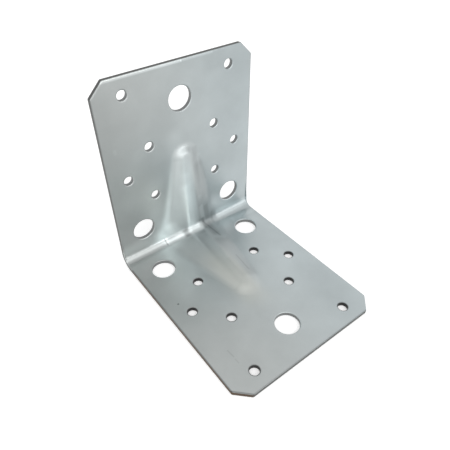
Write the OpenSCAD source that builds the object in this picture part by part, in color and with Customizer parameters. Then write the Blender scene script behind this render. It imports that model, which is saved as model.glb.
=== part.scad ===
/* [Sheet] */
// Width of the bracket, across both legs
width = 90; // [84:1:130]
// Length of each leg, from the outside of the fold to the tip
leg = 109; // [100:1:150]
// Thickness of the steel sheet
sheet = 2.5; // [1.5:0.25:3]
// Inside radius of the fold
fold_inside = 5; // [4:0.5:7]
// Corner cut off each leg, measured along both of its edges
corner_cut = 7; // [2:0.5:9]

/* [Rib] */
// Height of the rib's crest over each leg, where the rib meets the fold
rib_rise = 6; // [4:0.25:7]
// Height of the crest over the leg at its nose
nose_rise = 2.3; // [1.2:0.1:3]
// Distance from the outside of the fold to the tip of the rib's nose
rib_reach = 64; // [50:1:80]
// Width of the rib's foot at the fold
rib_foot = 36; // [32:1:40]
// Width of the rib's foot at the nose
nose_foot = 14.5; // [12:0.5:18]
// Width of the crest at the fold
crest_width = 8.5; // [7:0.5:12]
// Width of the crest at the nose
nose_width = 5.5; // [4:0.5:7]
// Run of the rounding between crest and flank
crest_round = 1.4; // [1:0.1:2]
// Run of the rounding between flank and leg
foot_round = 2.4; // [1:0.1:3]

/* [Nail holes] */
// Diameter of the nail holes
nail_hole = 5; // [4:0.5:6]
// Spacing of the two nail holes at the tip
tip_pair = 60; // [50:1:64]
// Distance of these two from the tip
tip_inset = 9; // [7:0.5:12]
// Spacing of the two nail holes beside the tip's bolt hole, and of the two beside the rib
near_pair = 40; // [36:1:44]
// Spacing of the two nail holes between them
wide_pair = 68; // [60:1:72]
// Distances of the three rows from the outside of the fold, the nearest first
nail_rows = [40, 55, 70];

/* [Bolt holes] */
// Diameter of the bolt holes
bolt_hole = 13; // [9:1:14]
// Distance of the single bolt hole from the tip
bolt_inset = 19; // [17:0.5:22]
// Spacing of the two bolt holes at the fold
bolt_pair = 60; // [58:1:62]
// Distance of these two from the outside of the fold
bolt_row = 20; // [19:0.5:24]

/* [Hidden] */
$fn = 64;
steel = [0.67, 0.71, 0.71];
fold_outside = fold_inside + sheet;
// Centre of the round nose, from the outside of the fold
nose_at = rib_reach - nose_foot / 2;
// Steps round a quarter of the nose, along a leg's side and round half of the fold
nose_steps = 6;
side_steps = 4;
fold_steps = 6;
last = 2 * (nose_steps + side_steps + fold_steps);
// Facets in each rounding, and the rings that follow from them
bend_steps = 3;
foot_ring = 2 * bend_steps + 1;
edge_ring = foot_ring + 1;
rings = edge_ring + 1;
// How far the rib's first line lies under the face, and how far its hidden skirt goes on
lap = 0.03;
skirt = 0.8;

function unit(v) = v / norm(v);
function flop(p) = [-p[0], p[1], p[2]];

// The roundings of a section: c and g are the half widths of its crest and foot, h is its height
function soft(run, most) = min(most, 0.42 * run);
function crest_bend(c, g, h, f) =
    let (tilt = atan(h / (g - c)))
    let (t = soft(g - c, crest_round))
    let (r = t / tan(tilt / 2))
    [c - t + r * sin(f * tilt), h - r * (1 - cos(f * tilt))];
function foot_bend(c, g, h, f) =
    let (tilt = atan(h / (g - c)))
    let (t = soft(g - c, foot_round))
    let (r = t / tan(tilt / 2))
    [g + t - r * sin(f * tilt), r * (1 - cos(f * tilt))];

// Half section of the rib from crest to foot, each point as distance from the centre line and height
function half_section(c, g, h) =
    let (foot = foot_bend(c, g, h, 0)[0])
    concat(
        [for (i = [0 : bend_steps]) crest_bend(c, g, h, i / bend_steps)],
        [for (i = [bend_steps : -1 : 1]) foot_bend(c, g, h, i / bend_steps)],
        [[foot, -lap]],
        [[foot + 0.3, -skirt]]
    );
at_fold = half_section(crest_width / 2, rib_foot / 2, rib_rise);
at_nose = half_section(nose_width / 2, nose_foot / 2, nose_rise);

// A point of the line that one ring follows: over the standing leg, round the fold, over the lying leg.
// hf and hn are its heights at fold and nose, xf and xn its distances from the centre line.
function along(s, xf, xn, hf, hn, radius) =
    let (u = min(s, last - s))
    let (reach = nose_at - fold_outside)
    let (fall = (hf - hn) / reach)
    let (start = hf + fall * fold_outside)
    let (corner = (sheet + start) / (1 + fall))
    let (middle = corner + radius * sqrt(1 + fall * fall) / (1 + fall))
    let (lean = atan(fall))
    let (bend = middle - radius * sin(lean))
    let (turn = 90 * (1 - u / nose_steps))
    let (part = (u - nose_steps) / side_steps)
    let (way = u < nose_steps ? nose_at + xn * sin(turn) : mix(nose_at, bend, min(part, 1)))
    let (arc = 180 + lean + (45 - lean) * (u - nose_steps - side_steps) / fold_steps)
    let (x = u < nose_steps ? xn * cos(turn) : xf + (xn - xf) * (way - fold_outside) / reach)
    let (flat = [x, sheet + start - fall * way, way])
    let (p = u <= nose_steps + side_steps ? flat
        : [x, middle + radius * cos(arc), middle + radius * sin(arc)])
    s <= last / 2 ? p : [p[0], p[2], p[1]];
function mix(a, b, f) = a + (b - a) * f;

// Points of the rib's inner face, past the ends of the half by mirroring
function ring_point(s, n) =
    s < 0 ? flop(ring_point(-s, n))
    : s > last ? flop(ring_point(2 * last - s, n))
    : n < 0 ? spine_point(s)
    : along(s, at_fold[n][0], at_nose[n][0], at_fold[n][1], at_nose[n][1], fold_inside);
function spine_point(s) = along(spine_step(s), 0, 0, rib_rise, nose_rise, fold_inside);
function spine_step(s) = max(nose_steps, min(last - nose_steps, s));

// Points of the rib's outer face, one sheet thickness behind
function outward(s, n) = unit(cross(
    ring_point(s, n + 1) - ring_point(s, n - 1),
    ring_point(s + 1, n) - ring_point(s - 1, n)));
function back_point(s, n) =
    n < foot_ring ? ring_point(s, n) - sheet * outward(s, n)
    : plain_point(s, n, at_fold[n][1] - sheet, fold_outside);
function back_spine(s) =
    let (k = spine_step(s))
    let (u = spine_point(k + (k < last / 2 ? 1 : 0)) - spine_point(k - (k < last / 2 ? 0 : 1)))
    let (m = k == last / 2 ? unit([0, 1, 1]) : unit([0, -u[2], u[1]]))
    spine_point(k) - sheet * m;

// Points at one height all the way, which close the forms
function plain_point(s, n, h, radius) =
    along(s, at_fold[n][0], at_nose[n][0], h, h, radius);
function plain_spine(s, h, radius) = along(spine_step(s), 0, 0, h, h, radius);

// The whole loop of stations: one side of the rib, then the other
loop = 2 * last;
function side_step(j) = j <= last ? j : loop - j;
function both_sides(j, p) = j <= last ? p : flop(p);
spines = [for (s = [nose_steps : last - nose_steps]) s];
function spine_id(j) = loop * rings + spine_step(side_step(j)) - nose_steps;
face_size = loop * rings + len(spines);

function web(base, up) = [
    for (j = [0 : loop - 1])
        let (k = (j + 1) % loop)
        let (a = spine_id(j))
        let (b = spine_id(k))
        for (t = concat(
            [[a, j * rings, k * rings]],
            a == b ? [] : [[a, k * rings, b]],
            [for (n = [0 : rings - 2]) each [
                [j * rings + n, j * rings + n + 1, k * rings + n + 1],
                [j * rings + n, k * rings + n + 1, k * rings + n]]]))
            up ? [t[2] + base, t[1] + base, t[0] + base] : [t[0] + base, t[1] + base, t[2] + base]];
function rim() = [
    for (j = [0 : loop - 1])
        let (a = j * rings + edge_ring)
        let (b = ((j + 1) % loop) * rings + edge_ring)
        each [[b + face_size, a + face_size, a], [b, b + face_size, a]]];

// A closed form between an upper and a lower web of points
module webbed(upper, lower) {
    polyhedron(
        points = concat(upper, lower),
        faces = concat(web(0, true), web(face_size, false), rim())
    );
}

// What the press raised on the inner side
module rib_raised() {
    webbed(
        concat(
            [for (j = [0 : loop - 1]) for (n = [0 : edge_ring])
                both_sides(j, ring_point(side_step(j), n))],
            [for (s = spines) spine_point(s)]
        ),
        concat(
            [for (j = [0 : loop - 1]) for (n = [0 : edge_ring])
                both_sides(j, plain_point(side_step(j), n, -sheet / 2, fold_inside))],
            [for (s = spines) plain_spine(s, -sheet / 2, fold_inside)]
        )
    );
}

// What the press left hollow on the outer side
module rib_hollow() {
    webbed(
        concat(
            [for (j = [0 : loop - 1]) for (n = [0 : edge_ring])
                both_sides(j, back_point(side_step(j), n))],
            [for (s = spines) back_spine(s)]
        ),
        concat(
            [for (j = [0 : loop - 1]) for (n = [0 : edge_ring])
                both_sides(j, plain_point(side_step(j), n, -sheet - 1.5, fold_outside))],
            [for (s = spines) plain_spine(s, -sheet - 1.5, fold_outside)]
        )
    );
}

// Flat part of the lying leg, with its two corners cut off
module flat_leg() {
    half = width / 2;
    linear_extrude(height = sheet)
        polygon([
            [-half, fold_outside],
            [half, fold_outside],
            [half, leg - corner_cut],
            [half - corner_cut, leg],
            [corner_cut - half, leg],
            [-half, leg - corner_cut]
        ]);
}

// Quarter turn that joins the legs
module fold() {
    translate([0, fold_outside, fold_outside])
        rotate([-90, 0, 0])
            rotate([0, 90, 0])
                rotate_extrude(angle = 90)
                    translate([fold_inside, -width / 2])
                        square([sheet, width]);
}

// One round hole through the lying leg
module hole(x, from_fold, d) {
    translate([x, from_fold, -1])
        cylinder(d = d, h = sheet + 2);
}

// All holes of one leg
module leg_holes() {
    hole(0, leg - bolt_inset, bolt_hole);
    for (side = [-1, 1]) {
        hole(side * bolt_pair / 2, bolt_row, bolt_hole);
        hole(side * tip_pair / 2, leg - tip_inset, nail_hole);
        hole(side * near_pair / 2, nail_rows[0], nail_hole);
        hole(side * wide_pair / 2, nail_rows[1], nail_hole);
        hole(side * near_pair / 2, nail_rows[2], nail_hole);
    }
}

// Turns what lies on the lying leg up onto the standing leg
module standing() {
    rotate([90, 0, 0])
        mirror([0, 0, 1])
            children();
}

// The folded sheet, its fold along the X axis and its legs along Y and Z
module folded_sheet() {
    difference() {
        union() {
            flat_leg();
            standing() flat_leg();
            fold();
            rib_raised();
        }
        rib_hollow();
        leg_holes();
        standing() leg_holes();
    }
}

// The bracket stands on its lying leg, with the hollow side of the corner facing -Y
module bracket() {
    color(steel)
        translate([0, leg / 2, 0])
            rotate([0, 0, 180])
                folded_sheet();
}

bracket();
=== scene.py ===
import math
import bpy
import numpy as np
from mathutils import Matrix, Vector
from mathutils.geometry import delaunay_2d_cdt


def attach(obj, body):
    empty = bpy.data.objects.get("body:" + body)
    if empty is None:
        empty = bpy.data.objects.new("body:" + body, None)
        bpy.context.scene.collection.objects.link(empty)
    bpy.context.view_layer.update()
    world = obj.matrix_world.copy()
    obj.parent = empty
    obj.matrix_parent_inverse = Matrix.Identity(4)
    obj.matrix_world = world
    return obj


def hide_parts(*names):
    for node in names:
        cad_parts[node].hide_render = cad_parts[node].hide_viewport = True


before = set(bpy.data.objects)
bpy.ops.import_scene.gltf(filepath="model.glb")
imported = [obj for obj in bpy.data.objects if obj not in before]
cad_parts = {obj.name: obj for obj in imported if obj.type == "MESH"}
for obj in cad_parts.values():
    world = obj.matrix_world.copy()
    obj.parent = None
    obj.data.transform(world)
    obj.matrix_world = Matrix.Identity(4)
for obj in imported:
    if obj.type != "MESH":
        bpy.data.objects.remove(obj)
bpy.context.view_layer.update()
print("corner brace: frame loaded")

mm = 0.001  # sizes are in millimetres until the mesh is made
blank = {
    "width": 90.0,
    "leg": 109.0,
    "thick": 2.5,
    "foldInside": 5.0,
    "cornerCut": 7.0,
    "cornerSoft": 1.2,
}
rib = {
    "rise": 6.0,
    "noseRise": 2.3,
    "reach": 64.0,
    "foot": 36.0,
    "noseFoot": 14.5,
    "crest": 8.5,
    "nose": 5.5,
    "crestRound": 1.4,
    "footRound": 2.4,
    "roundShare": 0.42,  # a rounding takes no more than this share of the flank
}
punching = {
    "nail": 5.0,
    "bolt": 13.0,
    # from the middle of the leg and from the outside of the fold
    "nailSpots": [(30.0, 100.0), (20.0, 70.0), (34.0, 55.0), (20.0, 40.0)],
    "boltSpots": [(30.0, 20.0)],
    "tipBolt": 90.0,
    "nailSides": 36,
    "boltSides": 72,
}
# rows of a cut edge, from the inner face to the outer: how far back from the cut, and how deep
shearProfile = [
    (0.80, 0.00), (0.52, 0.03), (0.26, 0.12), (0.07, 0.26), (0.00, 0.48), (0.00, 1.40),
    (0.05, 2.00), (0.10, 2.34), (0.15, 2.45), (0.26, 2.50),
]
wallRows = [0.0, 0.2, 0.75, 1.0, 1.0, 1.0, 1.0, 1.0, 1.0, 0.0]  # how far each row is a hole's wall
insideRows = 5  # so many rows belong to the inner face and its marks
bareBands = (3, 7)  # the first and the last band between rows that is bare steel
lyingSetback = 0.55  # the lying leg's outline is rolled over less
setbackBlend = 10.0  # which changes over this run on each side of the fold's middle

# how finely the sheet is meshed, in millimetres
meshing = {
    "foldRows": 20,
    "foldSides": 6,
    "foldClear": 3.0,
    "ribRow": 0.9,
    "ribColumn": 0.75,
    "ribStart": 0.7,
    "ribMargin": 1.6,
    "noseMargin": 3.0,
    "pastNose": 4.0,
    "legRow": 2.9,
    "legColumns": 31,
    "ribClear": 1.4,
    "edgeClear": 1.8,
    "tipClear": 1.6,
    "cornerClear": 2.0,
    "holeClear": 0.55,
    "sideStep": 2.4,
    "tipStep": 2.8,
    "cornerSteps": 5,
    "foldSteps": 10,
    "sideStart": 1.5,
    "sideEnd": 1.0,
    "trimClear": 0.3,
    "legStart": 2.4,
    "leastStrip": 0.8,
}

foldOutside = blank["foldInside"] + blank["thick"]
arcHalf = (blank["foldInside"] + blank["thick"] / 2) * math.pi / 4
halfLength = arcHalf + blank["leg"] - foldOutside
foldRun = (rib["foot"] - rib["crest"]) / 2
noseRun = (rib["noseFoot"] - rib["nose"]) / 2
noseAt = rib["reach"] - rib["noseFoot"] / 2
foldPull = 30.0  # up to here the mesh moves over to where the fold meets the rib


def onBlank(d):
    # how far along the blank a point lies that is d from the outside of the fold
    return d - foldOutside + arcHalf


def alongRib(d, atFold, atNose):
    return atFold + (atNose - atFold) * (d - foldOutside) / (noseAt - foldOutside)


def softRun(run, most):
    return min(most, rib["roundShare"] * run)


def ribHeight(x, d):
    # height of the pressed rib over the leg, at x from the middle and d from the fold
    x = np.abs(x)
    near = np.minimum(d, noseAt)
    past = np.maximum(d - noseAt, 0.0)
    crest = alongRib(near, rib["crest"] / 2, rib["nose"] / 2)
    height = alongRib(near, rib["rise"], rib["noseRise"])
    slope = (rib["rise"] - rib["noseRise"]) / (noseAt - foldOutside)
    crestSoft, footSoft = (
        alongRib(near, softRun(foldRun, rib[most]), softRun(noseRun, rib[most]))
        for most in ("crestRound", "footRound"))
    off = np.hypot(x, past) - crest
    run = alongRib(near, foldRun, noseRun)
    tilt = np.arctan2(height, run)
    crestR = crestSoft / np.tan(tilt / 2)
    footR = footSoft / np.tan(tilt / 2)
    over = np.clip((off + crestSoft) / crestR, 0.0, np.sin(tilt))
    under = np.clip((run + footSoft - off) / footR, 0.0, np.sin(tilt))
    onCrest = height - crestR * (1 - np.sqrt(1 - over * over))
    onFoot = footR * (1 - np.sqrt(1 - under * under))
    flank = height * (1 - off / run)
    out = np.where(off < crestSoft * np.cos(tilt), onCrest, flank)
    out = np.where(off > run - footSoft * np.cos(tilt), onFoot, out)
    return out * (1 - slope * past / rib["noseRise"])


def bendLine(x):
    # where the fold's arc meets the leg at this x, and how far the rib leans there
    step = 0.05
    at = np.full_like(x, foldOutside)
    for _ in range(14):  # more rounds than it needs to settle
        g = ribHeight(x, at)
        lean = -(ribHeight(x, at + step) - ribHeight(x, at - step)) / (2 * step)
        q = np.sqrt(1 + lean * lean)
        at = blank["thick"] + g + blank["foldInside"] * (1 - lean) / q
    middle = blank["thick"] + g + blank["foldInside"] / q
    return at, np.arctan(lean), middle


def innerFace(x, s):
    # a point of the flat blank, x across and s along, taken to its place on the pressed bracket
    x = np.asarray(x, float)
    s = np.asarray(s, float)
    a = np.abs(s)
    bend, lean, middle = bendLine(x)
    d = a - arcHalf + foldOutside
    pull = np.clip((foldPull - d) / (foldPull - foldOutside), 0.0, 1.0) ** 2
    way = d + (bend - foldOutside) * pull
    out = blank["thick"] + ribHeight(x, way)
    turn = math.pi + lean + (0.5 - a / (2 * arcHalf)) * (math.pi / 2 - 2 * lean)
    arcOut = middle + blank["foldInside"] * np.cos(turn)
    arcWay = middle + blank["foldInside"] * np.sin(turn)
    onArc = a < arcHalf
    out = np.where(onArc, arcOut, out)
    way = np.where(onArc, arcWay, way)
    standing = s < 0
    y = np.where(standing, out, way)
    z = np.where(standing, way, out)
    return np.stack([x, blank["leg"] / 2 - y, z], axis=-1)


def unitRows(v):
    return v / np.linalg.norm(v, axis=-1, keepdims=True)


def faceFrame(x, s):
    # at a point of the pressed face: the ways across and along the blank, and the way off the face
    step = 0.04
    dx = unitRows(innerFace(x + step, s) - innerFace(x - step, s))
    ds = unitRows(innerFace(x, s + step) - innerFace(x, s - step))
    n = unitRows(np.cross(dx, ds))
    flip = np.where((n * np.array([0.0, -1.0, 1.0])).sum(-1, keepdims=True) < 0, -1.0, 1.0)
    return dx, ds, n * flip


def outlineLoop():
    # the blank's outline, each point with its direction into the sheet
    w, t, c, r = blank["width"] / 2, halfLength, blank["cornerCut"], blank["cornerSoft"]
    corners = [
        (w, c - t), (w, t - c), (w - c, t), (c - w, t),
        (-w, t - c), (-w, c - t), (c - w, -t), (w - c, -t),
    ]
    sides = []
    for i, a in enumerate(corners):
        b = corners[(i + 1) % 8]
        v = Vector(b) - Vector(a)
        sides.append((Vector(a), v.normalized(), v.length, Vector((-v.y, v.x)).normalized()))
    points = []
    for i, (a, u, length, inward) in enumerate(sides):
        nextIn = sides[(i + 1) % 8][3]
        angle = inward.angle(nextIn)
        trim = r * math.tan(angle / 2)
        if abs(u.y) > 0.99:
            stops = list(np.arange(-arcHalf, arcHalf + 0.01, arcHalf / meshing["foldSteps"]))
            straight = np.arange(arcHalf + meshing["sideStart"], t - c - meshing["sideEnd"], meshing["sideStep"])
            stops += [k * sign for k in straight for sign in (-1, 1)]
            places = sorted((stop - a.y) * u.y for stop in stops)
        else:
            count = max(2, int(length / meshing["tipStep"]))
            places = [length * k / count for k in range(1, count)]
        clear = trim + meshing["trimClear"]
        points += [(a + u * k, inward) for k in places if clear < k < length - clear]
        centre = a + u * (length - trim) + inward * r
        for k in range(meshing["cornerSteps"] + 1):
            turned = Matrix.Rotation(angle * k / meshing["cornerSteps"], 2) @ inward
            points.append((centre - turned * r, turned))
    return [p for p, _ in points], [d for _, d in points]


def holeLoop(x, s, radius, sides):
    turns = [2 * math.pi * k / sides for k in range(sides)]
    ways = [Vector((math.cos(turn), math.sin(turn))) for turn in turns]
    return [Vector((x, s)) + w * radius for w in ways], ways


def holeSpots():
    # each hole's place on the blank, its radius and its number of sides
    nail = (punching["nail"] / 2, punching["nailSides"])
    bolt = (punching["bolt"] / 2, punching["boltSides"])
    spots = []
    for sign in (-1, 1):
        for side in (-1, 1):
            spots += [(side * x, sign * onBlank(d), *nail) for x, d in punching["nailSpots"]]
            spots += [(side * x, sign * onBlank(d), *bolt) for x, d in punching["boltSpots"]]
        spots.append((0.0, sign * onBlank(punching["tipBolt"]), *bolt))
    return spots


def ribZone(d):
    # half width of the finely meshed strip over the rib
    d = max(d, foldOutside)
    straight = alongRib(min(d, noseAt), rib["foot"] / 2, rib["noseFoot"] / 2)
    past = max(d - noseAt, 0.0)
    room = straight + rib["footRound"] + meshing["ribMargin"]
    pastShare = past * past * (room / (room + meshing["noseMargin"])) ** 2
    return math.sqrt(max(room * room - pastShare, 0.0))


def innerPoints(spots):
    # points between the edges: fine over the rib and round the fold, wide elsewhere
    spread = []
    foldRows = np.linspace(-arcHalf, arcHalf, meshing["foldRows"] + 1)
    ribEnd = rib["reach"] + meshing["pastNose"]
    rows = [(s, foldOutside) for s in foldRows]
    for d in np.arange(foldOutside + meshing["ribStart"], ribEnd, meshing["ribRow"]):
        rows += [(sign * onBlank(d), d) for sign in (-1, 1)]
    for s, d in rows:
        half = ribZone(d)
        if half < meshing["leastStrip"]:
            continue
        count = max(4, int(2 * half / meshing["ribColumn"]))
        spread += [(half * (2 * k / count - 1), s) for k in range(count + 1)]
    side = blank["width"] / 2 - meshing["edgeClear"]
    wide = np.linspace(ribZone(foldOutside) + meshing["foldClear"], side, meshing["foldSides"])
    spread += [(sign * x, s) for s in foldRows for x in wide for sign in (-1, 1)]
    for d in np.arange(foldOutside + meshing["legStart"], blank["leg"] - meshing["tipClear"], meshing["legRow"]):
        clear = ribZone(d) + meshing["ribClear"] if d < ribEnd else 0.0
        for x in np.linspace(-side, side, meshing["legColumns"]):
            if abs(x) >= clear:
                spread += [(x, sign * onBlank(d)) for sign in (-1, 1)]
    corner = blank["width"] / 2 + halfLength - blank["cornerCut"] - meshing["cornerClear"]
    room = shearProfile[0][0] + meshing["holeClear"]
    return [Vector((x, s)) for x, s in spread
            if abs(x) + abs(s) <= corner
            and all(math.hypot(x - a, s - b) > r + room for a, b, r, _ in spots)]


def setBack(points, setOff, outline):
    # how far the outline or a hole is set back at each of its points
    if not outline:
        return setOff * np.ones(len(points))
    return setOff * np.interp([p.y for p in points], [-setbackBlend, setbackBlend], [1.0, lyingSetback])


def blankTriangles(loops, inner):
    # the flat blank's triangles, the loop that each point is on, and each loop's first point
    flat = list(inner)
    starts, edges = [], []
    for points, ways in loops:
        first = len(flat)
        starts.append(first)
        setOffs = setBack(points, shearProfile[0][0], first == len(inner))
        flat += [p + w * off for p, w, off in zip(points, ways, setOffs)]
        edges += [(first + k, first + (k + 1) % len(points)) for k in range(len(points))]
    owner = np.full(len(flat), -1)
    for k, start in enumerate(starts):
        owner[start:start + len(loops[k][0])] = k
    rounded = [p * (1 - 1e-5 * p.length_squared) for p in flat]  # keeps the straight sides off one line
    found = delaunay_2d_cdt(rounded, edges, [], 1, 1e-6, True)
    if len(found[0]) != len(flat):
        raise RuntimeError("the blank's points ran into each other")
    source = [ids[0] for ids in found[3]]
    triangles = []
    for corners in found[2]:
        a, b, c = (source[v] for v in corners)
        overHole = owner[a] > 0 and owner[a] == owner[b] == owner[c]
        if not overHole:
            triangles.append((a, b, c))
    return triangles, owner, starts


def rowTilt(k):
    # which way a row of the cut edge faces: away from the sheet, and up from its inner face
    last = len(shearProfile) - 1
    if k in (0, last):
        return 0.0, 1.0 if k == 0 else -1.0
    before, after = shearProfile[k - 1], shearProfile[k + 1]
    du, dv = before[0] - after[0], before[1] - after[1]
    size = math.hypot(du, dv)
    return -dv / size, du / size


def buildSheet():
    spots = holeSpots()
    loops = [outlineLoop()] + [holeLoop(*spot) for spot in spots]
    inner = innerPoints(spots)
    triangles, owner, starts = blankTriangles(loops, inner)
    count = len(inner)
    xs = np.array([p.x for p in inner])
    ss = np.array([p.y for p in inner])
    base = innerFace(xs, ss)
    up = faceFrame(xs, ss)[2]
    places = [base, base - up * blank["thick"]]
    normals = [up, -up]
    flats = [np.stack([xs, ss], -1)] * 2
    # a wall of a nail hole is punched, and one of a bolt hole is bored
    shares = {
        "punched": [0.0] * (2 * count),
        "bored": [0.0] * (2 * count),
        "inside": [1.0] * count + [0.0] * count,
    }
    faces, slots, ringStarts = [], [], []
    at = 2 * count

    for loop, (points, ways) in enumerate(loops):
        size = len(points)
        wall = loop > 0
        isBolt = size == punching["boltSides"]
        px = np.array([p.x for p in points])
        ps = np.array([p.y for p in points])
        wx = np.array([w.x for w in ways])
        ws = np.array([w.y for w in ways])
        rings = []
        for k, (rowBack, depth) in enumerate(shearProfile):
            setOff = setBack(points, rowBack, not wall)
            x, s = px + wx * setOff, ps + ws * setOff
            dx, ds, up = faceFrame(x, s)
            outward = -(dx * wx[:, None] + ds * ws[:, None])
            away, above = rowTilt(k)
            places.append(innerFace(x, s) - up * depth)
            normals.append(unitRows(outward * away + up * above))
            flats.append(np.stack([x, s], -1))
            shares["punched"] += [wallRows[k] if wall and not isBolt else 0.0] * size
            shares["bored"] += [wallRows[k] if wall and isBolt else 0.0] * size
            shares["inside"] += [1.0 if k < insideRows else 0.0] * size
            rings.append(at)
            at += size
        ringStarts.append(rings)
        for k in range(len(rings) - 1):
            for i in range(size):
                j = (i + 1) % size
                faces.append((rings[k] + i, rings[k + 1] + i, rings[k + 1] + j, rings[k] + j))
                slots.append(1 if bareBands[0] <= k <= bareBands[1] else 0)

    def pointOf(v, outer):
        # a point of the flat triangles, as a point of the inner or the outer face
        if v < count:
            return v + (count if outer else 0)
        k = owner[v]
        return ringStarts[k][-1 if outer else 0] + v - starts[k]

    for a, b, c in triangles:
        faces.append((pointOf(a, False), pointOf(b, False), pointOf(c, False)))
        faces.append((pointOf(c, True), pointOf(b, True), pointOf(a, True)))
        slots += [0, 0]
    places = np.concatenate(places) * mm
    normals = np.concatenate(normals)
    turned = []
    for f in faces:
        a, b, c = places[f[0]], places[f[1]], places[f[2]]
        facing = np.dot(np.cross(b - a, c - a), normals[f[0]] + normals[f[1]] + normals[f[2]])
        turned.append(f if facing >= 0 else f[::-1])
    shares = {label: np.array(values) for label, values in shares.items()}
    return places, normals, np.concatenate(flats), shares, turned, slots


# painted highlight: the zinc is made brighter where the lamps' reflections fall, beside the standing leg's foot
# line on the left, on its left flank and crest, and on the fold
paintedShine = {
    "band": 0.95,
    "bandWide": 2.2,
    "bandSpread": 4.5,
    "spreadTo": 18.0,
    "fadeFrom": 10.0,
    "fadeTo": 60.0,
    "flank": 0.30,
    "crest": 0.36,
    "fold": 0.30,
    # how far past its line each place goes, and the run over which it ends
    "flankFoot": (0.0, 2.5),
    "flankTop": (1.5, 2.5),
    "crestLeft": (1.0, 1.5),
    "crestRight": (0.5, 2.0),
    "noseEnd": (-4.0, 10.0),
    "foldLeft": (24.0, 8.0),
    "foldRight": (7.5, 3.0),
    # in halves of the fold's arc: how far the fold's own shine goes, and where the standing leg's begins
    "foldWide": 1.3,
    "standingFrom": 0.4,
}


def ramp(way, past, run):
    return np.clip((way + past) / run, 0.0, 1.0)


def paintedShineShare(x, s):
    d = np.abs(s) - arcHalf + foldOutside
    crest = alongRib(d, rib["crest"] / 2, rib["nose"] / 2)
    foot = alongRib(d, rib["foot"] / 2, rib["noseFoot"] / 2)
    fade = ramp(-d, paintedShine["fadeTo"], paintedShine["fadeTo"] - paintedShine["fadeFrom"])
    nearFold = np.clip(1 - (d - foldOutside) / paintedShine["spreadTo"], 0.0, 1.0)
    wide = paintedShine["bandWide"] + paintedShine["bandSpread"] * nearFold ** 2
    band = paintedShine["band"] * fade * np.exp(-((x + foot) / wide) ** 2)
    flank = paintedShine["flank"] * ramp(x + foot, *paintedShine["flankFoot"]) * ramp(-crest - x, *paintedShine["flankTop"])
    onCrest = paintedShine["crest"] * ramp(x + crest, *paintedShine["crestLeft"]) * ramp(crest - x, *paintedShine["crestRight"])
    share = np.maximum(band, (flank + onCrest) * ramp(rib["reach"] - d, *paintedShine["noseEnd"]))
    onFold = paintedShine["fold"] * np.clip(paintedShine["foldWide"] - np.abs(s) / arcHalf, 0.0, 1.0)
    onFold = onFold * ramp(x, *paintedShine["foldLeft"]) * ramp(-x, *paintedShine["foldRight"])
    return np.maximum(np.where(s < -arcHalf * paintedShine["standingFrom"], share, 0.0), onFold)


# painted reflection: the lying leg's crest has a warm tone from the middle of the rib to its nose
warmReflection = {
    "middle": (-2.5, 47.0),
    "lean": 0.03,
    "halfAcross": 7.5,
    "halfAlong": 21.0,
    "share": 0.46,
}


def warmReflectionShare(x, s):
    off = s - warmReflection["middle"][1]
    across = (x - warmReflection["middle"][0] - warmReflection["lean"] * off) / warmReflection["halfAcross"]
    along = off / warmReflection["halfAlong"]
    return warmReflection["share"] * np.exp(-np.abs(across) ** 3) * np.exp(-np.abs(along) ** 4)


def sheetObject(name):
    places, normals, flats, shares, faces, slots = buildSheet()
    mesh = bpy.data.meshes.new(name)
    mesh.from_pydata(places.tolist(), [], faces)
    mesh.polygons.foreach_set("material_index", slots)
    mesh.polygons.foreach_set("use_smooth", [True] * len(faces))
    x, s = flats[:, 0], flats[:, 1]
    shares["blankX"] = x * mm
    shares["blankS"] = s * mm
    # share of the painted highlight
    shares["paintedHighlight"] = paintedShineShare(x, s) * shares["inside"]
    # share of the painted warm reflection
    shares["paintedWarmReflection"] = warmReflectionShare(x, s) * shares["inside"]
    for label, values in shares.items():
        mesh.attributes.new(label, "FLOAT", "POINT").data.foreach_set("value", values)
    mesh.update()
    mesh.normals_split_custom_set_from_vertices(normals.tolist())
    piece = bpy.data.objects.new(name, mesh)
    bpy.context.scene.collection.objects.link(piece)
    print("corner brace:", name, len(mesh.vertices), "points,", len(mesh.polygons), "faces")
    return piece


def groupWith(name, inputs, outputs):
    tree = bpy.data.node_groups.new(name, "ShaderNodeTree")
    for label, kind, value in inputs:
        socket = tree.interface.new_socket(label, in_out="INPUT", socket_type=kind)
        socket.default_value = value
    for label, kind in outputs:
        tree.interface.new_socket(label, in_out="OUTPUT", socket_type=kind)
    return tree, tree.nodes.new("NodeGroupInput"), tree.nodes.new("NodeGroupOutput")


def addNode(tree, kind, links=(), **values):
    node = tree.nodes.new(kind)
    for key, value in values.items():
        setattr(node, key, value)
    for socket, source in links:
        if hasattr(source, "is_output"):
            tree.links.new(source, node.inputs[socket])
        else:
            node.inputs[socket].default_value = source
    return node


def times(tree, a, b):
    return addNode(tree, "ShaderNodeMath", [(0, a), (1, b)], operation="MULTIPLY").outputs[0]


def mixed(tree, share, low, high):
    # from one colour to another
    return addNode(tree, "ShaderNodeMix", [(0, share), (6, low), (7, high)], data_type="RGBA").outputs[2]


def scaled(tree, colour, share):
    node = addNode(tree, "ShaderNodeVectorMath", [(0, colour), ("Scale", share)], operation="SCALE")
    return node.outputs["Vector"]


def ranged(tree, value, fromLow, fromHigh, toLow, toHigh, **values):
    node = addNode(tree, "ShaderNodeMapRange", [
        ("Value", value), ("From Min", fromLow), ("From Max", fromHigh), ("To Min", toLow), ("To Max", toHigh),
    ], **values)
    return node.outputs["Result"]


def softStep(tree, value, low, high):
    return ranged(tree, value, low, high, 0.0, 1.0, interpolation_type="SMOOTHSTEP")


def pointValue(tree, name):
    # what the mesh's points carry: their place on the flat blank, in metres, or a share
    return addNode(tree, "ShaderNodeAttribute", attribute_name=name).outputs["Fac"]


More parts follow.
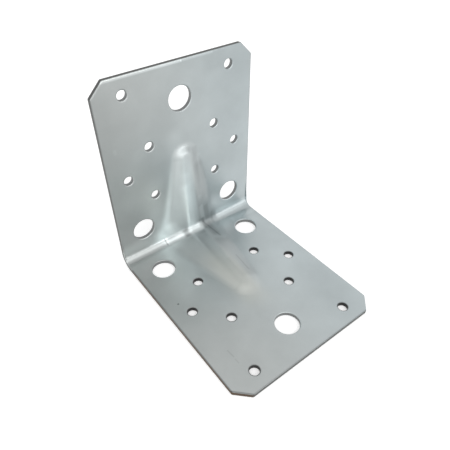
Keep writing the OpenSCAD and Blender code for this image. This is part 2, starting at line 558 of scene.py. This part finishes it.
def buildZincGroup():
    # the coating's soft clouds and its fine grain
    tree, into, out = groupWith("zincBloom", [
        ("Cloud Size", "NodeSocketFloat", 55.0),
        ("Grain Size", "NodeSocketFloat", 1400.0),
    ], [("Cloud", "NodeSocketFloat"), ("Grain", "NodeSocketFloat")])
    where = addNode(tree, "ShaderNodeTexCoord").outputs["Object"]
    for label, detail, rough in (("Cloud", 3.0, 0.55), ("Grain", 2.0, 0.6)):
        size = into.outputs[label + " Size"]
        noise = addNode(tree, "ShaderNodeTexNoise", [
            ("Vector", where), ("Scale", size), ("Detail", detail), ("Roughness", rough),
        ])
        tree.links.new(noise.outputs["Fac"], out.inputs[label])
    return tree


def buildMarkGroup():
    # one soft-sided stroke on the blank, as the brightness that it leaves
    tree, into, out = groupWith("zincStroke", [
        ("Middle", "NodeSocketVector", (0.0, 0.0, 0.0)),
        ("Along", "NodeSocketVector", (1.0, 0.0, 0.0)),
        ("Across", "NodeSocketVector", (0.0, 1.0, 0.0)),
        ("Half Length", "NodeSocketFloat", 0.001),
        ("Half Width", "NodeSocketFloat", 0.0005),
        ("Soft", "NodeSocketFloat", 0.0005),
        ("Left Bright", "NodeSocketFloat", 0.8),
    ], [("Share", "NodeSocketFloat")])
    place = addNode(tree, "ShaderNodeCombineXYZ", [
        ("X", pointValue(tree, "blankX")), ("Y", pointValue(tree, "blankS")),
    ])
    off = addNode(tree, "ShaderNodeVectorMath", [
        (0, place.outputs[0]), (1, into.outputs["Middle"]),
    ], operation="SUBTRACT")
    inside = []
    for way, run in (("Along", "Half Length"), ("Across", "Half Width")):
        half = into.outputs[run]
        part = addNode(tree, "ShaderNodeVectorMath", [
            (0, off.outputs[0]), (1, into.outputs[way]),
        ], operation="DOT_PRODUCT")
        size = addNode(tree, "ShaderNodeMath", [(0, part.outputs["Value"])], operation="ABSOLUTE")
        end = addNode(tree, "ShaderNodeMath", [(0, half), (1, into.outputs["Soft"])], operation="ADD")
        inside.append(softStep(tree, size.outputs[0], end.outputs[0], half))
    share = ranged(tree, times(tree, *inside), 0.0, 1.0, 1.0, into.outputs["Left Bright"])
    tree.links.new(share, out.inputs["Share"])
    return tree


# strokes on the zinc of the inner face, in millimetres on the flat blank: from, to, width, how soft its
# side is, how bright it leaves the zinc. Besides the small marks and the dark edges, they are painted
# highlights and painted shade.
marks = {
    # small marks
    "dot": ((-37.5, 43.9), (-36.9, 43.9), 0.6, 0.4, 0.45),
    "scratchOne": ((-33.6, 81.6), (-33.3, 86.2), 0.35, 0.3, 0.88),
    "scratchTwo": ((-33.5, 87.6), (-33.4, 90.2), 0.30, 0.3, 0.90),
    "stain": ((18.0, -101.0), (26.0, -102.0), 5.0, 5.0, 0.93),
    "fleck": ((-38.5, -72.0), (-38.3, -70.0), 0.9, 0.9, 1.06),
    # painted shade and painted highlights: small creases and pinches of the press, shaded in colour and not in the
    # mesh, and the dark reflections beside the rib at the fold
    "wrinkle": ((-18.5, -3.2), (-18.1, 2.6), 0.35, 0.45, 0.68),
    "wrinkleLit": ((-17.6, -3.0), (-17.3, 2.6), 0.45, 0.5, 1.15),
    "lyingCrease": ((8.7, 34.8), (7.9, 47.4), 0.45, 0.5, 0.84),
    "footCrease": ((9.0, -50.5), (12.9, -34.5), 0.7, 1.0, 0.93),
    "crestPinch": ((-6.6, -2.5), (-6.2, 2.5), 0.8, 2.2, 0.56),
    "flankPinch": ((6.4, -6.0), (6.6, 3.0), 0.6, 2.0, 0.70),
    "wedge": ((10.0, 1.0), (9.6, 12.0), 1.4, 4.2, 0.72),
    "wedgeLine": ((9.2, 3.0), (11.0, 15.5), 0.5, 0.9, 0.76),
    "wedgeTurn": ((6.6, -3.0), (9.2, 3.0), 0.5, 0.9, 0.80),
    "footPinch": ((15.6, -7.0), (15.0, 2.0), 0.6, 1.6, 0.88),
    # painted highlights, where the lamps' reflections fall
    "crestLit": ((-2.2, -44.0), (-1.2, -6.0), 2.4, 3.0, 1.10),
    "crestLowLit": ((-3.3, -36.0), (-2.2, -6.0), 0.4, 4.4, 1.20),
    "crestSide": ((6.4, -18.0), (7.0, -7.0), 1.6, 1.8, 1.22),
    "noseLit": ((-6.0, -67.0), (-3.5, -56.0), 0.5, 8.0, 1.14),
    "topStrip": ((-41.0, -105.7), (2.0, -105.7), 0.6, 0.7, 1.4),
    "topStripEnd": ((2.0, -105.7), (20.0, -105.7), 0.5, 0.7, 1.18),
    "rightLit": ((19.0, -14.0), (27.0, -11.0), 2.0, 10.0, 1.30),
    "besideFoot": ((-20.5, -42.0), (-21.5, -16.0), 1.0, 10.0, 1.15),
    "footLit": ((-13.4, -11.0), (-9.8, -2.5), 0.4, 4.8, 1.26),
    "foldPool": ((-17.5, -4.8), (-8.0, -4.4), 0.6, 3.4, 1.12),
    "foldSideLit": ((-44.0, -7.0), (-23.0, -8.0), 0.6, 6.0, 1.32),
    "foldRightLit": ((21.0, -5.0), (44.0, -4.0), 1.2, 2.8, 1.28),
    "foldUnderLit": ((28.0, 7.5), (43.0, 8.0), 1.0, 2.6, 1.14),
    "besideBolt": ((28.0, 14.0), (38.0, 14.0), 0.5, 10.0, 1.12),
    "lyingCrestLit": ((1.5, 9.0), (1.0, 34.0), 1.5, 3.4, 1.15),
    "lyingLeftLit": ((-25.0, 34.0), (-21.0, 60.0), 6.0, 15.0, 1.10),
    # shades
    "flankShade": ((8.0, -46.0), (10.5, -24.0), 2.0, 4.0, 0.84),
    "flankDeep": ((10.8, -15.0), (11.6, -4.0), 2.0, 2.2, 0.84),
    "crestRightShade": ((6.2, -57.0), (5.4, -28.0), 1.6, 2.2, 0.88),
    "standLeftShade": ((-46.0, -95.0), (-43.0, -28.0), 4.0, 15.0, 0.91),
    "standRightShade": ((37.0, -98.0), (28.0, -42.0), 8.0, 15.0, 0.92),
    "lyingFootShade": ((-23.5, 7.5), (-18.0, 11.0), 0.8, 7.0, 0.86),
    "lyingFlankShade": ((9.6, 20.0), (5.6, 50.0), 6.5, 3.5, 0.84),
    "lyingNoseShade": ((-1.5, 59.0), (1.5, 59.0), 2.6, 3.0, 0.93),
    "lyingTipShade": ((36.0, 74.0), (31.0, 97.0), 6.0, 18.0, 0.91),
    # dark edges
    "leftEdge": ((-45.2, 8.0), (-45.2, 99.2), 0.7, 0.7, 0.45),
    "nearCornerEdge": ((-45.2, 99.2), (-38.0, 106.5), 0.6, 0.7, 0.5),
    "tipEdge": ((-38.0, 106.6), (38.0, 106.6), 0.6, 0.6, 0.60),
    "farEdge": ((45.2, 4.0), (45.2, 99.4), 0.4, 0.8, 0.70),
    "standLeftEdge": ((-45.2, -8.0), (-45.2, -99.4), 0.6, 0.7, 0.55),
    "standRightEdge": ((45.2, -16.0), (45.2, -99.4), 0.6, 1.0, 0.68),
}


def markedShare(tree, markGroup, share):
    for label, (start, end, width, soft, bright) in marks.items():
        a, b = Vector(start) * mm, Vector(end) * mm
        along = (b - a).normalized()
        stroke = addNode(tree, "ShaderNodeGroup", [
            ("Middle", (*((a + b) / 2), 0.0)),
            ("Along", (*along, 0.0)),
            ("Across", (-along.y, along.x, 0.0)),
            ("Half Length", (b - a).length / 2),
            ("Half Width", width / 2 * mm),
            ("Soft", soft * mm),
            ("Left Bright", bright),
        ], node_tree=markGroup, label=label)
        share = times(tree, share, stroke.outputs["Share"])
    return share


finish = {
    "zincLeft": (0.385, 0.405, 0.400, 1.0),
    "zincRight": (0.418, 0.463, 0.473, 1.0),
    "zincCloud": 0.05,
    "standingTip": 0.90,
    "lyingMiddle": 1.14,
    # colour of the painted highlight
    "paintedHighlight": (0.75, 0.82, 0.82, 1.0),
    # colour of the painted warm reflection
    "paintedWarmReflection": (0.56, 0.56, 0.50, 1.0),
    "zincRoughness": (0.31, 0.38),
    "zincBloom": (55.0, 1500.0),  # scales of the clouds and of the grain
    "zincBump": (0.06, 0.0002),  # strength of the grain and its depth in metres
    "bloomSpan": (0.3, 0.7),  # the noise does its work between these values
    "cut": (0.10, 0.103, 0.10, 1.0),
    "cutRusty": (0.088, 0.052, 0.025, 1.0),
    "rustSpots": 0.7,
    "rustSpan": (0.3, 0.6),
    "cutRoughness": 0.5,
    "cutMetallic": 0.85,
    "cutBloom": (180.0, 2500.0),
    "cutBump": (0.2, 0.0003),
    # lit and shaded copies of the nail holes' wall colour, for the standing and the lying leg: painted light and
    # painted shade, which also darkens the inner face round the lying leg's nail holes
    "nailHoleLit": (0.21, 0.22, 0.22, 1.0),
    "nailHoleShade": (0.035, 0.035, 0.035, 1.0),
    "boltWall": (0.20, 0.207, 0.207, 1.0),
}
# where the tones change, in metres on the flat blank
toneRuns = {
    "leftToRight": (-0.045, 0.045),
    "standingTip": (-0.105, -0.05),
    "lyingMiddle": (0.005, 0.045),
    "lyingLeg": (0.006, 0.012),
    "leftEdge": (-0.036, -0.040),
}


def startMaterial(name):
    material = bpy.data.materials.new(name)
    material.use_nodes = True
    tree = material.node_tree
    shader = tree.nodes["Principled BSDF"]
    return material, tree, shader


def startMetal(name, zincGroup, sizes, bumpy):
    material, tree, shader = startMaterial(name)
    bloom = addNode(tree, "ShaderNodeGroup", [
        ("Cloud Size", sizes[0]), ("Grain Size", sizes[1]),
    ], node_tree=zincGroup)
    bump = addNode(tree, "ShaderNodeBump", [
        ("Height", bloom.outputs["Grain"]), ("Strength", bumpy[0]), ("Distance", bumpy[1]),
    ])
    tree.links.new(bump.outputs["Normal"], shader.inputs["Normal"])
    return material, tree, shader, bloom


def zincMaterial(zincGroup, markGroup):
    material, tree, shader, bloom = startMetal(
        "galvanised_face", zincGroup, finish["zincBloom"], finish["zincBump"])
    along = pointValue(tree, "blankS")
    drift = softStep(tree, pointValue(tree, "blankX"), *toneRuns["leftToRight"])
    tone = mixed(tree, drift, finish["zincLeft"], finish["zincRight"])
    standing = ranged(tree, along, *toneRuns["standingTip"], finish["standingTip"], 1.0)
    lying = ranged(tree, along, *toneRuns["lyingMiddle"], 1.0, finish["lyingMiddle"])
    tone = scaled(tree, tone, times(tree, standing, lying))
    # painted highlight: the zinc's tone goes towards a bright colour where the lamps' reflections fall
    pressed = mixed(tree, pointValue(tree, "paintedHighlight"), tone, finish["paintedHighlight"])
    darkest, brightest = 1 - finish["zincCloud"], 1 + finish["zincCloud"]
    cloudy = ranged(tree, bloom.outputs["Cloud"], *finish["bloomSpan"], darkest, brightest)
    marked = markedShare(tree, markGroup, cloudy)
    marked = addNode(tree, "ShaderNodeMix", [(0, pointValue(tree, "inside")), (2, cloudy), (3, marked)]).outputs[0]
    # painted warm reflection on the lying leg's crest
    paintedWarmReflection = mixed(tree, pointValue(tree, "paintedWarmReflection"), scaled(tree, pressed, marked), finish["paintedWarmReflection"])
    # painted shade: the inner face round the lying leg's nail holes goes dark
    nailRimShade = times(tree, pointValue(tree, "punched"), softStep(tree, along, *toneRuns["lyingLeg"]))
    colour = mixed(tree, nailRimShade, paintedWarmReflection, finish["nailHoleShade"])
    tree.links.new(colour, shader.inputs["Base Color"])
    rough = ranged(tree, bloom.outputs["Grain"], *finish["bloomSpan"], *finish["zincRoughness"])
    tree.links.new(rough, shader.inputs["Roughness"])
    shader.inputs["Metallic"].default_value = 1.0
    return material


def cutMaterial(zincGroup):
    material, tree, shader, bloom = startMetal(
        "sheared_edge", zincGroup, finish["cutBloom"], finish["cutBump"])
    lying = softStep(tree, pointValue(tree, "blankS"), *toneRuns["lyingLeg"])
    # bare steel shows brown on the lying leg's left edge
    left = softStep(tree, pointValue(tree, "blankX"), *toneRuns["leftEdge"])
    spotty = ranged(tree, bloom.outputs["Cloud"], *finish["rustSpan"], finish["rustSpots"], 1.0)
    rusty = times(tree, times(tree, left, lying), spotty)
    edge = mixed(tree, rusty, finish["cut"], finish["cutRusty"])
    # nail walls: a lit copy on the standing leg, painted shade on the lying leg
    nailWallLitAndShade = mixed(tree, lying, finish["nailHoleLit"], finish["nailHoleShade"])
    colour = mixed(tree, pointValue(tree, "punched"), edge, nailWallLitAndShade)
    colour = mixed(tree, pointValue(tree, "bored"), colour, finish["boltWall"])
    tree.links.new(colour, shader.inputs["Base Color"])
    shader.inputs["Metallic"].default_value = finish["cutMetallic"]
    shader.inputs["Roughness"].default_value = finish["cutRoughness"]
    return material


zincGroup = buildZincGroup()
markGroup = buildMarkGroup()
bracket = sheetObject("bracket_sheet")
for material in (zincMaterial(zincGroup, markGroup), cutMaterial(zincGroup)):
    bracket.data.materials.append(material)
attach(bracket, "root")
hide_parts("bracket")
print("corner brace: sheet dressed")

studio = {
    "floorHalf": 3.0,
    "floorColour": (0.9, 0.9, 0.9, 1.0),
    "floorRoughness": 0.9,
    "floorGloss": 0.1,
    "floorLift": 0.40,
    "white": (1.0, 1.0, 1.0, 1.0),
    "worldLight": 0.75,
    "lampAway": 1.5,
    "lampAim": (0.0, 0.0, 0.04),
}
# each soft lamp's direction from the origin, its size in metres and its power
lamps = {
    "front_softbox": ((-0.19, -0.72, 0.66), (2.3, 0.9), 8.5),
    "low_softbox": ((0.12, -0.98, 0.06), (1.5, 0.5), 4.5),
}


def seenRay(tree):
    # 1 where the camera, a reflection or a see-through surface looks
    ray = addNode(tree, "ShaderNodeLightPath")
    seen = ray.outputs["Is Camera Ray"]
    for other in ("Is Glossy Ray", "Is Transmission Ray"):
        either = addNode(tree, "ShaderNodeMath", [(0, seen), (1, ray.outputs[other])], operation="MAXIMUM")
        seen = either.outputs[0]
    return seen


def buildFloor():
    half = studio["floorHalf"]
    mesh = bpy.data.meshes.new("floor")
    corners = [(-half, -half, 0), (half, -half, 0), (half, half, 0), (-half, half, 0)]
    mesh.from_pydata(corners, [], [(0, 1, 2, 3)])
    floor = bpy.data.objects.new("floor", mesh)
    bpy.context.scene.collection.objects.link(floor)
    material, tree, shader = startMaterial("pale_floor")
    shader.inputs["Base Color"].default_value = studio["floorColour"]
    shader.inputs["Roughness"].default_value = studio["floorRoughness"]
    shader.inputs["Specular IOR Level"].default_value = studio["floorGloss"]
    shader.inputs["Emission Color"].default_value = studio["white"]
    lift = times(tree, seenRay(tree), studio["floorLift"])
    tree.links.new(lift, shader.inputs["Emission Strength"])
    mesh.materials.append(material)
    return floor


def buildWorld():
    world = bpy.data.worlds.new("studio")
    bpy.context.scene.world = world
    world.use_nodes = True
    tree = world.node_tree
    tree.nodes.clear()
    light, seen = (
        addNode(tree, "ShaderNodeBackground", [("Color", studio["white"]), ("Strength", strength)]).outputs[0]
        for strength in (studio["worldLight"], 1.0))
    either = addNode(tree, "ShaderNodeMixShader", [(0, seenRay(tree)), (1, light), (2, seen)])
    addNode(tree, "ShaderNodeOutputWorld", [("Surface", either.outputs[0])])


def softLamp(name, way, size, power):
    data = bpy.data.lights.new(name, "AREA")
    data.shape = "RECTANGLE"
    data.size, data.size_y = size
    data.energy = power
    lamp = bpy.data.objects.new(name, data)
    bpy.context.scene.collection.objects.link(lamp)
    lamp.location = Vector(way) * studio["lampAway"]
    lamp.rotation_euler = (Vector(studio["lampAim"]) - lamp.location).to_track_quat("-Z", "Y").to_euler()


buildFloor()
buildWorld()
for name, (way, size, power) in lamps.items():
    softLamp(name, way, size, power)
print("corner brace: studio set")

# the camera's place and aim in millimetres, and its focal length in pixels of the frame
view = {
    "eye": (-104.92, -123.21, 186.15),
    "aim": (12.35, 32.48, 14.09),
    "roll": -0.417,
    "focal": 439.5,
    "frame": 450.0,
    "sensor": 36.0,
    "nearest": 10.0,
}


def buildCamera():
    eye = Vector(view["eye"]) * mm
    forward = (Vector(view["aim"]) * mm - eye).normalized()
    right = forward.cross(Vector((0, 0, 1))).normalized()
    up = right.cross(forward)
    turn = math.radians(view["roll"])
    rolled = right * math.cos(turn) + up * math.sin(turn)
    upward = up * math.cos(turn) - right * math.sin(turn)
    data = bpy.data.cameras.new("camera")
    data.sensor_width = view["sensor"]
    data.lens = view["focal"] / view["frame"] * view["sensor"]
    data.clip_start = view["nearest"] * mm
    camera = bpy.data.objects.new("camera", data)
    bpy.context.scene.collection.objects.link(camera)
    camera.matrix_world = Matrix((
        (rolled.x, upward.x, -forward.x, eye.x),
        (rolled.y, upward.y, -forward.y, eye.y),
        (rolled.z, upward.z, -forward.z, eye.z),
        (0, 0, 0, 1),
    ))
    bpy.context.scene.camera = camera


buildCamera()
bpy.context.scene.view_settings.view_transform = "Standard"
print("corner brace: done")
